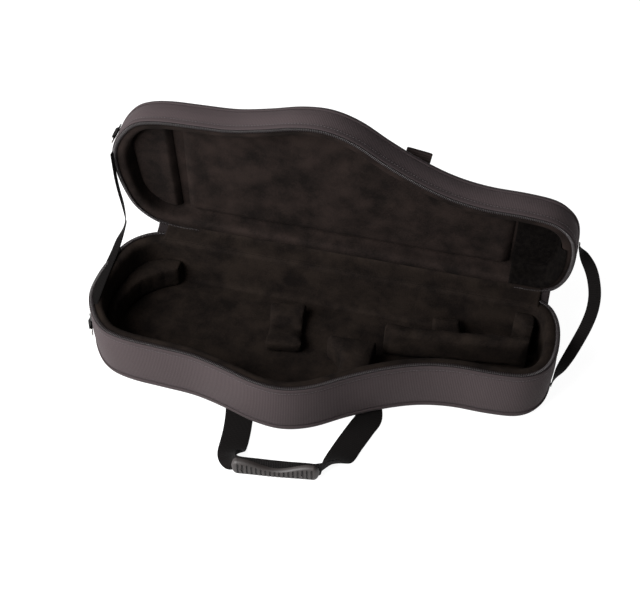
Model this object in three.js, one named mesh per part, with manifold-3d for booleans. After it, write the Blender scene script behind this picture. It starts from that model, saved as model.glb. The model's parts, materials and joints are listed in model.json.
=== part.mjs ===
// Shaped soft-shell case for an alto saxophone, standing open.
// Units are millimetres. +X runs to the narrow end, the front faces -Y, +Z is up.
// Outlines are drawn with y = 0 along the hinge side; the whole model is then moved
// so that its origin lies in the middle of the base's underside.
import * as THREE from 'three';
import { mergeVertices } from 'three/addons/utils/BufferGeometryUtils.js';
import Module from 'manifold-3d';

const wasm = await Module();
wasm.setup();

// Driving dimensions of the two halves.
const GAP = 0.3;
const BASE_HEIGHT = 95;
const LID_HEIGHT = 50;
const ZIP_SPACE = 5;
const COVER = 3.4;
const EDGE_RADIUS = 12;
const SEAM_HEIGHT = 12;
const BINDING = 9;
const PIPING = 2;
const WALL = 20;
const LINING = 2;
const FLOOR = 10;
const LIP_DROP = 4;
const HINGE_SIDE_Y = 140;

// The hinge: its axis lies just outside the back wall and under the rim.
const HINGE_AXIS = new THREE.Vector3(0, 3, 92);
const LID_OPEN_ANGLE = THREE.MathUtils.degToRad(79.4);
const HINGE_LEFT = -275;
const HINGE_RIGHT = 318;
const ZIP_RUN_ON = 40;

// Webbing, rings and zip fittings.
const WEBBING = 2.2;
const STRAP = 1.6;
const HANDLE_WIDTH = 38;
const RING_STOCK = 3.4;
const RING_WIDTH = 28;
const RING_HEIGHT = 20;

// One spline carries the outline from the hinge's left end round the front to its right end.
const OUTLINE_KNOTS = [
  [HINGE_LEFT, 0], [-312, -9], [-342, -38], [-355, -80], [-360, -125], [-356, -168],
  [-338, -205], [-308, -237], [-268, -249], [-215, -252], [-160, -255], [-108, -267],
  [-60, -281], [-15, -284], [28, -269], [72, -238], [120, -209], [170, -187],
  [220, -177], [275, -176], [322, -169], [350, -143], [360, -100], [357, -50],
  [342, -15], [HINGE_RIGHT, 0],
].map(([x, y]) => new THREE.Vector2(x, y));
const OUTLINE = new THREE.SplineCurve(OUTLINE_KNOTS).getPoints(2 * (OUTLINE_KNOTS.length - 1));

// Materials.
const finish = (color, roughness, metalness = 0) =>
  new THREE.MeshStandardMaterial({ color, roughness, metalness });
const NYLON = () => finish(0x6b6063, 0.8);
const BINDING_NYLON = () => finish(0x5d5356, 0.8);
const PIPING_CORD = () => finish(0x4f4749, 0.7);
const TAPE = () => finish(0x2b2627, 0.85);
const COIL = () => finish(0x3a3536, 0.5);
const PLUSH = () => finish(0x231e1b, 0.95);
const FOAM = () => finish(0xbfb9ae, 0.95);
const BLACK_LOOP = () => finish(0x0a0908, 0.95);
const WEB = () => finish(0x1a1614, 0.85);
const RUBBER = () => finish(0x3f3938, 0.6);
const NICKEL = () => finish(0xc9c9cc, 0.25, 1);

// The outline moved inwards by an even amount, its corners mitred.
function outline(inset) {
  const count = OUTLINE.length;
  return OUTLINE.map((point, index) => {
    const before = OUTLINE[(index + count - 1) % count];
    const after = OUTLINE[(index + 1) % count];
    const first = new THREE.Vector2(point.y - before.y, before.x - point.x).normalize();
    const second = new THREE.Vector2(after.y - point.y, point.x - after.x).normalize();
    const mitre = first.clone().add(second).divideScalar(1 + first.dot(second));
    return point.clone().addScaledVector(mitre, -inset);
  });
}

// A flat-sided solid between two heights, with holes where they are given.
function slab(points, low, high, holes = []) {
  const shape = new THREE.Shape(points);
  holes.forEach((hole) => shape.holes.push(new THREE.Path(hole)));
  const geometry = new THREE.ExtrudeGeometry(shape, { depth: high - low, bevelEnabled: false });
  return geometry.translate(0, 0, low);
}

// A band that follows the whole outline.
const ring = (outer, inner, low, high) => slab(outline(outer), low, high, [outline(inner)]);

// A band that follows the outline everywhere but along the hinge.
function zipBand(outer, inner, low, high) {
  const run = (inset) => [
    new THREE.Vector2(HINGE_LEFT + ZIP_RUN_ON, -inset),
    ...outline(inset),
    new THREE.Vector2(HINGE_RIGHT - ZIP_RUN_ON, -inset),
  ];
  return slab([...run(outer), ...run(inner).reverse()], low, high);
}

// A block with both of its rims rounded.
function pillow(inset, low, high, radius) {
  const geometry = new THREE.ExtrudeGeometry(new THREE.Shape(outline(inset)), {
    depth: high - low - 2 * radius,
    bevelThickness: radius,
    bevelSize: radius,
    bevelOffset: -radius,
    bevelSegments: 3,
  });
  return geometry.translate(0, 0, low + radius);
}

function box(x0, x1, y0, y1, z0, z1) {
  const geometry = new THREE.BoxGeometry(x1 - x0, y1 - y0, z1 - z0);
  return geometry.translate((x0 + x1) / 2, (y0 + y1) / 2, (z0 + z1) / 2);
}

const between = (low, high) => box(-500, 500, -500, 500, low, high);

// A round bar along Z, turned to lie along the given axis through a point.
function bar(radius, length, x, y, z, turnX = 0, turnY = 0, turnZ = 0) {
  const geometry = new THREE.CylinderGeometry(radius, radius, length, 32);
  geometry.rotateX(Math.PI / 2);
  geometry.rotateX(turnX).rotateY(turnY).rotateZ(turnZ);
  return geometry.translate(x, y, z);
}

// Solids for booleans.
function solid(geometry) {
  const bare = geometry.clone();
  bare.deleteAttribute('normal');
  bare.deleteAttribute('uv');
  const merged = mergeVertices(bare, 1e-4);
  return new wasm.Manifold(new wasm.Mesh({
    numProp: 3,
    vertProperties: merged.attributes.position.array,
    triVerts: Uint32Array.from(merged.index.array),
  }));
}

function geometryOf(manifold) {
  const { vertProperties, triVerts } = manifold.getMesh();
  const geometry = new THREE.BufferGeometry();
  geometry.setAttribute('position', new THREE.BufferAttribute(vertProperties, 3));
  geometry.setIndex(new THREE.BufferAttribute(triVerts, 1));
  geometry.computeVertexNormals();
  return geometry;
}

const join = (...parts) => parts.map(solid).reduce((whole, part) => whole.add(part));
const cut = (whole, ...tools) => tools.reduce((left, tool) => left.subtract(solid(tool)), whole);
const common = (whole, ...limits) => limits.reduce((left, limit) => left.intersect(solid(limit)), whole);

function add(group, name, shape, material) {
  const geometry = shape.isBufferGeometry ? shape : geometryOf(shape);
  const mesh = new THREE.Mesh(geometry, material);
  mesh.name = name;
  group.add(mesh);
  return mesh;
}

const caseGroup = new THREE.Group();
const base = new THREE.Group();
const lid = new THREE.Group();
const lidTurn = new THREE.Group();
lidTurn.position.copy(HINGE_AXIS);
lidTurn.rotation.x = -LID_OPEN_ANGLE;
lid.position.copy(HINGE_AXIS).negate().add(new THREE.Vector3(0, 0, BASE_HEIGHT + ZIP_SPACE));
lidTurn.add(lid);
caseGroup.add(base, lidTurn);
caseGroup.position.y = HINGE_SIDE_Y;

// Where the carry handle's webbing leaves the base, and how its two legs lie on the floor.
const LEFT_LEG = [
  [-108, -263], [-101, -300], [-97, -322], [-86, -341], [-72, -362], [-72, -372], [-60, -372],
  [-60, -350], [-55, -336], [-58, -302], [-62, -280],
].map(([x, y]) => new THREE.Vector2(x, y));
const RIGHT_LEG = [
  [86, -225], [73, -240], [67, -290], [62, -321], [60.5, -340], [61, -353], [70, -350],
  [82, -321], [99, -292], [113, -245], [123, -209],
].map(([x, y]) => new THREE.Vector2(x, y));
const GRIP_CENTRE = new THREE.Vector3(0, -359, 0);
const GRIP_TURN = THREE.MathUtils.degToRad(9);
const GRIP = { length: 118, thickness: 15, height: 28 };

// Base: cover, welt, binding and zip.
function buildBaseShell() {
  const hull = common(solid(pillow(0, 0, 2 * BASE_HEIGHT, EDGE_RADIUS)), between(0, SEAM_HEIGHT));
  const hollow = pillow(COVER, COVER, 2 * BASE_HEIGHT, EDGE_RADIUS - COVER);
  const pockets = ANCHORS.map(({ x, y, turn }) => anchorBlock(x, y, turn, GAP));
  add(base, 'base_bottom_cover', cut(hull, hollow, ...pockets), NYLON());
  ANCHORS.forEach(({ name, x, y, turn }) => add(base, name, anchorBlock(x, y, turn, 0), WEB()));

  const welt = SEAM_HEIGHT + GAP;
  add(base, 'base_piping', ring(-0.9, COVER - 1, welt, welt + PIPING), PIPING_CORD());
  const wall = welt + PIPING + GAP;
  const bindingFoot = BASE_HEIGHT - BINDING;
  add(base, 'base_side_cover', ring(0, COVER, wall, bindingFoot - GAP), NYLON());
  add(base, 'base_binding', ring(-0.5, COVER, bindingFoot, BASE_HEIGHT), BINDING_NYLON());
  add(base, 'base_zip_tape', zipBand(0.6, 3, BASE_HEIGHT + GAP, BASE_HEIGHT + 1.1), TAPE());
  add(base, 'base_zip_coil', zipBand(0.6, 3, BASE_HEIGHT + 1.4, BASE_HEIGHT + 2.4), COIL());
}

// The handle's webbing runs under the rounded edge into two sewn-in ends.
const ANCHORS = [
  { name: 'handle_anchor_left', x: -87, y: -257, turn: -0.38 },
  { name: 'handle_anchor_right', x: 96, y: -208, turn: 0.52 },
];

function anchorBlock(x, y, turn, spare) {
  const half = HANDLE_WIDTH / 2 + spare;
  const block = box(-half, half, -6 - spare, 6 + spare, 0.2 - spare, 2.4 + spare);
  return block.rotateZ(turn).translate(x, y, 0);
}

// Base: foam tray, plush lining and the padded supports in it.
const BASE_TOP = BASE_HEIGHT - LIP_DROP;
const TRAY_FLOOR = COVER + GAP + FLOOR + GAP + LINING;

function buildBaseLining() {
  const foot = COVER + GAP;
  const foamTop = BASE_TOP - LINING - GAP;
  const block = pillow(foot, foot, 2 * BASE_HEIGHT, EDGE_RADIUS - COVER);
  const foam = common(solid(block), between(0, foamTop));
  const well = slab(outline(WALL - LINING - GAP), foot + FLOOR, BASE_HEIGHT);
  add(base, 'base_foam', cut(foam, well), FOAM());

  const flange = ring(foot, WALL, foamTop + GAP, BASE_TOP);
  const tray = slab(outline(WALL - LINING), foot + FLOOR + GAP, BASE_TOP);
  const inside = slab(outline(WALL), TRAY_FLOOR, BASE_HEIGHT);
  add(base, 'base_lining', cut(join(tray, flange), inside), PLUSH());
}

function buildBasePadding() {
  const room = slab(outline(WALL + GAP), TRAY_FLOOR + GAP, BASE_HEIGHT);
  const block = (name, limits, ...tools) =>
    add(base, name, cut(common(solid(room), limits), ...tools), PLUSH());

  block('bow_cushion', box(-400, -258, -246, -20, 0, 60), bar(104, 200, -222, -140, 50));
  block('bell_cushion', box(14, 94, -300, -116, 0, 58), bar(66, 200, -22, -188, 50));
  block('end_block', box(288, 322, -52, 0, 0, 84), bar(18, 80, 288, -52, 60));
  CRADLES.forEach(({ name, x, y, length, width, height, groove }) => {
    const body = box(-length / 2, length / 2, -width / 2, width / 2, 0, height);
    const saddle = bar(groove, length + 4, 0, 0, height + 0.7 * groove, 0, Math.PI / 2);
    const cradle = cut(solid(body), saddle);
    const shape = geometryOf(cradle).rotateZ(BODY_TURN).translate(x, y, TRAY_FLOOR + GAP);
    add(base, name, shape, PLUSH());
  });
  const divider = [[96, -112], [96, -96], [322, -66], [322, -80]];
  const wall = slab(divider.map(([x, y]) => new THREE.Vector2(x, y)), TRAY_FLOOR + GAP, 80);
  add(base, 'neck_divider', wall, PLUSH());
}

// Two saddles carry the saxophone's body tube, which lies a little across the case.
const BODY_TURN = Math.atan2(105, 580);
const CRADLES = [
  { name: 'body_cradle', x: -60, y: -98, length: 60, width: 96, height: 24, groove: 44 },
  { name: 'upper_cradle', x: 190, y: -54, length: 46, width: 50, height: 34, groove: 22 },
];

// Lid, drawn closed: its rim is at z = 0 and its outside at z = LID_HEIGHT.
function buildLidShell() {
  const seam = LID_HEIGHT - SEAM_HEIGHT + 2;
  const hull = common(solid(pillow(0, -LID_HEIGHT, LID_HEIGHT, EDGE_RADIUS)), between(seam, 99));
  const hollow = pillow(COVER, -LID_HEIGHT, LID_HEIGHT - COVER, EDGE_RADIUS - COVER);
  add(lid, 'lid_top_cover', cut(hull, hollow), NYLON());
  const welt = seam - GAP - PIPING;
  add(lid, 'lid_piping', ring(-0.9, COVER - 1, welt, welt + PIPING), PIPING_CORD());
  add(lid, 'lid_side_cover', ring(0, COVER, BINDING + GAP, welt - GAP), NYLON());
  add(lid, 'lid_binding', ring(-0.5, COVER, 0, BINDING), BINDING_NYLON());
  add(lid, 'lid_zip_tape', zipBand(0.6, 3, -1.1, -GAP), TAPE());
  add(lid, 'lid_zip_coil', zipBand(0.6, 3, -2.3, -1.4), COIL());
}

function buildLidLining() {
  const foot = COVER + GAP;
  const foamRoof = LID_HEIGHT - foot - FLOOR;
  const block = pillow(foot, -LID_HEIGHT, LID_HEIGHT - foot, EDGE_RADIUS - COVER);
  const lipTop = LIP_DROP + LINING + GAP;
  const foam = common(solid(block), between(lipTop, 99));
  const well = slab(outline(WALL - LINING - GAP), -1, foamRoof);
  add(lid, 'lid_foam', cut(foam, well), FOAM());

  const flange = ring(foot, WALL, LIP_DROP, LIP_DROP + LINING);
  const tray = slab(outline(WALL - LINING), LIP_DROP, foamRoof - GAP);
  const roof = foamRoof - GAP - LINING;
  const inside = slab(outline(WALL), -1, roof);
  add(lid, 'lid_lining', cut(join(tray, flange), inside), PLUSH());

  const room = (low) => solid(slab(outline(WALL + GAP), low, roof - GAP));
  const edge = (points) => slab(points.map(([x, y]) => new THREE.Vector2(x, y)), -1, 99);
  const main = edge([[270, 0], [-258, 0], [-232, -300], [270, -300]]);
  const bow = edge([[-290, 0], [-400, 0], [-400, -300], [-264, -300]]);
  add(lid, 'lid_main_pad', common(room(roof - 6), main), PLUSH());
  add(lid, 'lid_bow_pad', common(room(roof - 13), bow), PLUSH());
  add(lid, 'lid_loop_panel', common(room(roof - 2), box(273, 400, -300, 0, -1, 99)), BLACK_LOOP());
}

// The woven gusset between the halves, and the plush strip inside it.
function buildHinge() {
  const left = HINGE_LEFT + ZIP_RUN_ON + 2;
  const right = HINGE_RIGHT - ZIP_RUN_ON - 2;
  add(base, 'hinge_spine', box(left, right, -3, 9.4, BASE_HEIGHT + 0.3, BASE_HEIGHT + 1.7), NYLON());
  add(base, 'hinge_lining', box(left, right, -15, 8.8, BASE_HEIGHT + 2, BASE_HEIGHT + 3.2), PLUSH());
}

// A zip slider on the outside of the back wall, with its pull tab hanging from it.
function buildSlider(side, x) {
  const bodyHeight = 4.4;
  const top = BASE_HEIGHT + 1.2;
  const block = box(x - 6, x + 6, 1, 4.6, top - bodyHeight, top);
  const eye = box(x - 1.6, x + 1.6, 4.4, 8.4, top - 3.4, top - 0.6);
  const hole = box(x - 3, x + 3, 5.4, 7.2, top - 2.6, top - 1.4);
  add(base, `zip_slider_${side}`, cut(join(block, eye), hole), NICKEL());
  const plate = box(x - 4.5, x + 4.5, 5.7, 6.9, top - 30, top - 1.4);
  const slot = box(x - 2.2, x + 2.2, 5, 8, top - 5, top);
  const pin = box(x - 2.4, x + 2.4, 5.9, 6.7, top - 2.3, top - 1.7);
  const pull = cut(solid(plate), slot);
  add(base, `zip_pull_${side}`, pull.add(solid(pin)), NICKEL());
}

// A webbing tab with a D-ring, drawn on a wall that faces -X at x = 0, the ring hanging down.
function buildRing(group, prefix, place) {
  const holder = new THREE.Group();
  const tabHalf = RING_WIDTH / 2 - RING_STOCK - 1;
  const reach = 0.75 * RING_STOCK;
  const centre = -GAP - 1 - reach;
  const block = box(centre - reach - 1, -GAP, -tabHalf, tabHalf, -4, 16);
  const hole = box(centre - reach, centre + reach, -20, 20, -reach, reach);
  add(holder, `${prefix}_ring_tab`, cut(solid(block), hole), WEB());

  const half = RING_WIDTH / 2;
  const bow = (radius, top, drop) => {
    const path = new THREE.Path();
    path.moveTo(-radius, top);
    path.lineTo(-radius, drop);
    path.absarc(0, drop, radius, Math.PI, 2 * Math.PI);
    path.lineTo(radius, top);
    return path.getPoints(10);
  };
  const outer = bow(half, RING_STOCK / 2, half - RING_HEIGHT);
  const inner = bow(half - RING_STOCK, -RING_STOCK / 2, half - RING_HEIGHT);
  const plate = slab(outer, centre - RING_STOCK / 2, centre + RING_STOCK / 2, [inner]);
  plate.rotateX(Math.PI / 2).rotateZ(Math.PI / 2);
  add(holder, `${prefix}_ring`, plate, NICKEL());
  place(holder);
  group.add(holder);
}

function buildRings() {
  buildRing(base, 'base', (holder) => {
    holder.position.set(-345.9, -193, 52);
    holder.rotation.z = THREE.MathUtils.degToRad(29);
  });
  buildRing(lid, 'lid', (holder) => {
    holder.position.set(-351.4, -183, 20);
    holder.rotation.set(Math.PI / 2, 0, THREE.MathUtils.degToRad(25), 'ZYX');
  });
}

// Webbing lying on the floor from the base's edge, turned on edge through the grip.
function buildCarryHandle() {
  const legs = join(slab(LEFT_LEG, 0.2, 0.2 + WEBBING), slab(RIGHT_LEG, 0.2, 0.2 + WEBBING));
  const reach = GRIP.length / 2 + 11;
  const half = WEBBING / 2;
  const run = box(-reach, reach, -half, half, 3, GRIP.height - 3.4);
  const ends = [-reach, GRIP.length / 2 + 1].map((x) => box(x, x + 10, -half, half, 0.2, 20));
  const turn = (geometry) => geometry.rotateZ(GRIP_TURN).translate(GRIP_CENTRE.x, GRIP_CENTRE.y, 0);
  const strap = [run, ...ends].reduce((whole, piece) => whole.add(solid(turn(piece))), legs);
  add(base, 'carry_strap', strap, WEB());

  const corner = 6;
  const profile = new THREE.Shape();
  const halfLength = GRIP.length / 2;
  profile.moveTo(-halfLength + corner, 0.3);
  profile.lineTo(halfLength - corner, 0.3);
  profile.absarc(halfLength - corner, 0.3 + corner, corner, -Math.PI / 2, 0);
  profile.absarc(halfLength - corner, GRIP.height - corner, corner, 0, Math.PI / 2);
  profile.absarc(-halfLength + corner, GRIP.height - corner, corner, Math.PI / 2, Math.PI);
  profile.absarc(-halfLength + corner, 0.3 + corner, corner, Math.PI, 1.5 * Math.PI);
  const body = new THREE.ExtrudeGeometry(profile, {
    depth: GRIP.thickness - 4,
    bevelThickness: 2,
    bevelSize: 2,
    bevelOffset: -2,
    bevelSegments: 1,
    curveSegments: 4,
  });
  body.translate(0, 0, -GRIP.thickness / 2 + 2).rotateX(Math.PI / 2);
  const slot = box(-99, 99, -half - GAP, half + GAP, 3 - GAP, GRIP.height - 3.4 + GAP);
  add(base, 'carry_grip', cut(solid(turn(body)), turn(slot)), RUBBER());
}

// The outline of a flat strap drawn round its centre line, with one width or one at each point.
function strapOutline(route, width) {
  const side = (sign) => route.map((point, index) => {
    const before = route[Math.max(index - 1, 0)];
    const after = route[Math.min(index + 1, route.length - 1)];
    const along = after.clone().sub(before).normalize();
    const across = new THREE.Vector2(along.y, -along.x);
    const here = Array.isArray(width) ? width[index] : width;
    return point.clone().addScaledVector(across, sign * here / 2);
  });
  return [...side(1), ...side(-1).reverse()];
}

// Each end of the lid's webbing handle is sewn flat to the lid, rises and folds back over itself.
// The fold line crosses both ends; the loop between them swings about it.
const LID_FOLD = [new THREE.Vector2(-86, -240), new THREE.Vector2(110, -206)];
const LID_FOLD_TURN = LID_FOLD[1].clone().sub(LID_FOLD[0]).angle();
const LID_FOLD_RISE = 14;
const LID_ROOT_ROUTE = [[30, 1.7], [16, 2], [6, 6], [-0.5, 10.9]]
  .map(([back, up]) => new THREE.Vector2(back, LID_HEIGHT + up));
const LID_RUN_Y = -148;

function buildLidHandle() {
  const half = HANDLE_WIDTH / 2;
  const place = (geometry, fold) =>
    geometry.rotateZ(LID_FOLD_TURN).translate(fold.x, fold.y, 0);
  const mid = LID_HEIGHT + LID_FOLD_RISE;
  const legs = LID_FOLD.map((fold) => {
    const length = (LID_RUN_Y - fold.y) / Math.cos(LID_FOLD_TURN) + 6;
    return place(box(-half, half, 0, length, mid - WEBBING / 2, mid + WEBBING / 2), fold);
  });
  const ends = LID_FOLD.map((fold) => fold.x - (LID_RUN_Y - fold.y) * Math.tan(LID_FOLD_TURN));
  const low = LID_HEIGHT + 0.6;
  const run = box(ends[0] - half, ends[1] + half, LID_RUN_Y - 1.2, LID_RUN_Y + 1, low, low + 34);
  const front = box(-500, 500, -500, LID_RUN_Y + 1, 0, 200);
  add(lid, 'lid_strap', common(join(...legs, run), front), WEB());

  ['left', 'right'].forEach((side, index) => {
    const root = slab(strapOutline(LID_ROOT_ROUTE, WEBBING), -half, half);
    root.rotateY(Math.PI / 2).rotateX(Math.PI / 2);
    add(lid, `lid_handle_anchor_${side}`, place(root, LID_FOLD[index]), WEB());
  });
}

// The wide end's stay lies face-on inside the rim. Its centre line is given in Y and Z.
const STAY_X = -353.4;
const STAY_WIDTH = 18;
const STAY_ROUTE = [
  [-34, 258], [-25, 200], [-17, 150], [-16, 118], [-36, 110], [-90, 109], [-136, 109],
].map(([y, z]) => new THREE.Vector2(y, z));

// The narrow end's strap bows outwards, face-on in a plane that leans between its two ends.
// Its centre line is given as the distance in X and the distance up that plane.
const END_STRAP_FOOT = new THREE.Vector3(0, -80, 34);
const END_STRAP_LEAN = Math.atan2(100, 180);
const END_STRAP_WIDTH = 15;
const END_STRAP_ROUTE = [
  [364, 188], [374, 176], [385, 161], [393, 144], [399, 122], [400, 98], [396, 73], [389, 48],
  [381, 23], [373, 1], [366, -18],
].map(([x, up]) => new THREE.Vector2(x, up));

function buildStays() {
  const stay = slab(strapOutline(STAY_ROUTE, STAY_WIDTH), 0, STRAP);
  stay.rotateX(Math.PI / 2).rotateZ(Math.PI / 2).translate(STAY_X, 0, 0);
  add(base, 'lid_stay', stay, WEB());
  const patchTop = STAY_ROUTE.at(-1).y - STAY_WIDTH / 2 - GAP;
  add(base, 'stay_base_patch', box(STAY_X, STAY_X + STRAP, -148, -128, BASE_TOP + GAP, patchTop), WEB());
  add(lid, 'stay_lid_patch', box(STAY_X + 3, -343, -170, -148, 1.6, LIP_DROP - GAP), WEB());

  const last = END_STRAP_ROUTE.length - 1;
  const widths = END_STRAP_ROUTE.map((point, index) => {
    const fromEnd = Math.min(index, last - index, 2) / 2;
    return 3 + (END_STRAP_WIDTH - 3) * fromEnd;
  });
  const strap = slab(strapOutline(END_STRAP_ROUTE, widths), -STRAP / 2, STRAP / 2);
  strap.rotateX(Math.PI / 2 - END_STRAP_LEAN).translate(...END_STRAP_FOOT.toArray());
  add(base, 'end_strap', strap, WEB());
  add(base, 'end_strap_base_patch', box(360.5, 362, -100, -78, 16, 38), WEB());
  add(lid, 'end_strap_lid_patch', box(360.5, 362, -114, -90, 12, 32), WEB());
}

buildBaseShell();
buildBaseLining();
buildBasePadding();
buildHinge();
buildSlider('left', HINGE_LEFT + 25);
buildSlider('right', HINGE_RIGHT - 25);
buildLidShell();
buildLidLining();
buildRings();
buildCarryHandle();
buildLidHandle();
buildStays();

export default caseGroup;
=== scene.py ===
# %% [markdown]
# # A shaped saxophone case, standing open
# The case is two foam trays covered in ribbed nylon, lined with short plush and joined along
# one side by a woven gusset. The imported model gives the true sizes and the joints; this lesson
# makes the surfaces that are seen. The frame is loaded first, so every piece has a place to go.

# %% Load the fixed frame
import json
import math

import bpy
import numpy as np
from mathutils import Matrix, Vector


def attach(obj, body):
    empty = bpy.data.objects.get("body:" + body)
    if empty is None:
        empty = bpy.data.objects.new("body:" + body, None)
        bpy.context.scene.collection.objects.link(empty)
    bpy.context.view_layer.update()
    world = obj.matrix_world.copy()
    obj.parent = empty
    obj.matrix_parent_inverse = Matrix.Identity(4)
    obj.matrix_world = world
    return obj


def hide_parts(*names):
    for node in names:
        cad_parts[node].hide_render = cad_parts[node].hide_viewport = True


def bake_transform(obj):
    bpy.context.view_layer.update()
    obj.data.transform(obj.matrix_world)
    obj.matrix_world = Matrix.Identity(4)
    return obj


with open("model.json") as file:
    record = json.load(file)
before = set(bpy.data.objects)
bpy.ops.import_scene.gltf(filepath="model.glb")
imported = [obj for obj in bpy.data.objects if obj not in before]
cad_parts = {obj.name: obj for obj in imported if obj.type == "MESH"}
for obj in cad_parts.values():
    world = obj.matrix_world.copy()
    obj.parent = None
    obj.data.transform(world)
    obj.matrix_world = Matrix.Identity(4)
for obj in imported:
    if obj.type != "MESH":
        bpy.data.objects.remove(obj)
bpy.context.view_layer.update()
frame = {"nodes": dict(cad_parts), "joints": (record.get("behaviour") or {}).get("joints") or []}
JOINTS = {joint["name"]: joint for joint in frame["joints"]}

# %% [markdown]
# ## The outline
# Both halves follow one outline, drawn through a few knots in millimetres with y = 0 along the
# hinge side. A spline keeps it smooth, as the sewn cover of the real case is. Points are spaced
# evenly along it, so that a weave or a row of stitches can be measured off round the case.

# %% The outline and its outward normals
MM = 0.001
HINGE_SIDE_Y = 140
KNOTS = np.array([
    (-275, 0), (-312, -9), (-342, -38), (-355, -80), (-360, -125), (-356, -168), (-338, -205),
    (-308, -237), (-268, -249), (-215, -252), (-160, -255), (-108, -267), (-60, -281),
    (-15, -284), (28, -269), (72, -238), (120, -209), (170, -187), (220, -177), (275, -176),
    (322, -169), (350, -143), (360, -100), (357, -50), (342, -15), (318, 0),
], float)
COLUMNS = 480


def spline(points, count):
    """A curve through the points: between two of them it is the cubic that leaves each one along
    the line joining its neighbours. The two ends count twice."""
    points = np.asarray(points, float)
    p = np.vstack([points[:1], points, points[-1:]])
    t = np.linspace(0, len(points) - 1, count)
    i = np.minimum(t.astype(int), len(points) - 2)
    f = (t - i)[:, None]
    a, b, c, d = p[i], p[i + 1], p[i + 2], p[i + 3]
    quadratic = 2 * a - 5 * b + 4 * c - d
    cubic = 3 * b - a - 3 * c + d
    return 0.5 * (2 * b + (c - a) * f + quadratic * f**2 + cubic * f**3)


def even(curve, count, closed=False):
    """The same curve with its points spaced evenly along its length."""
    if closed:
        curve = np.vstack([curve, curve[:1]])
    length = np.concatenate([[0], np.cumsum(np.linalg.norm(np.diff(curve, axis=0), axis=1))])
    at = np.linspace(0, length[-1], count, endpoint=not closed)
    return np.column_stack([np.interp(at, length, axis) for axis in curve.T])


def unit_rows(vectors):
    """The same vectors, each one long."""
    return vectors / np.linalg.norm(vectors, axis=1)[:, None]


def softened(curve, reach):
    """Each point of a closed curve moved to the bell-weighted mean of its neighbours."""
    offsets = np.arange(-3 * reach, 3 * reach + 1)
    weights = np.exp(-0.5 * (offsets / reach) ** 2)
    shifted = np.stack([np.roll(curve, k, axis=0) for k in offsets])
    return np.tensordot(weights / weights.sum(), shifted, axes=1)


RIM = softened(even(spline(KNOTS, 900), COLUMNS, closed=True), 2)
ALONG = unit_rows(np.roll(RIM, -1, axis=0) - np.roll(RIM, 1, axis=0))
OUTWARD = np.column_stack([ALONG[:, 1], -ALONG[:, 0]])
STEP = np.linalg.norm(np.diff(RIM, axis=0), axis=1).mean()
print(f"outline: {COLUMNS} points, {STEP:.2f} mm apart, {STEP * COLUMNS:.0f} mm round")

# %% [markdown]
# ## From numbers to meshes
# A shape here is a grid of points: one direction round the case or along a strap, the other
# across its section. One builder turns such a grid into quads and gives it a UV map in metres,
# so that every woven finish has its threads at their real pitch.

# %% Heights, the lid's place, and the surface builder
BASE_HEIGHT = 95
ZIP_SPACE = 5
LID_HEIGHT = 50
OPEN_ANGLE = math.radians(JOINTS["lid_hinge"]["range_deg"][1])
HINGE = np.array(JOINTS["lid_hinge"]["pos_m"]) / MM


def base_place(points):
    """Millimetres in the outline's frame, to metres in the model's frame."""
    return (np.asarray(points, float) + (0, HINGE_SIDE_Y, 0)) * MM


def lid_place(points):
    """Lid points are drawn shut, with the rim at z = 0, then turned open about the hinge axis."""
    shut = np.asarray(points, float) + (0, HINGE_SIDE_Y, BASE_HEIGHT + ZIP_SPACE) - HINGE
    c, s = math.cos(OPEN_ANGLE), math.sin(OPEN_ANGLE)
    y = shut[..., 1] * c + shut[..., 2] * s
    z = shut[..., 2] * c - shut[..., 1] * s
    return (np.stack([shut[..., 0], y, z], axis=-1) + HINGE) * MM


def lid_direction(vector):
    """A direction drawn on the shut lid, turned with the open lid."""
    return (lid_place(vector) - lid_place((0, 0, 0))) / MM


def linked(name, data):
    """A new object in the scene, holding a mesh, a camera or a light."""
    made = bpy.data.objects.new(name, data)
    bpy.context.scene.collection.objects.link(made)
    return made


def power(value, exponent):
    """A number raised to a power by its size only, keeping its sign."""
    return np.sign(value) * np.abs(value) ** exponent


def grid_faces(rows, cols, wrap):
    """The quads of a grid of points, joined up where a direction wraps."""
    index = np.arange(rows * cols).reshape(rows, cols)
    r0 = np.arange(rows if wrap[0] else rows - 1)
    c0 = np.arange(cols if wrap[1] else cols - 1)
    r1, c1 = (r0 + 1) % rows, (c0 + 1) % cols
    corners = [index[np.ix_(r, c)] for r, c in ((r0, c0), (r1, c0), (r1, c1), (r0, c1))]
    return np.stack(corners, axis=-1).reshape(-1, 4), r0, c0


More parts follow.
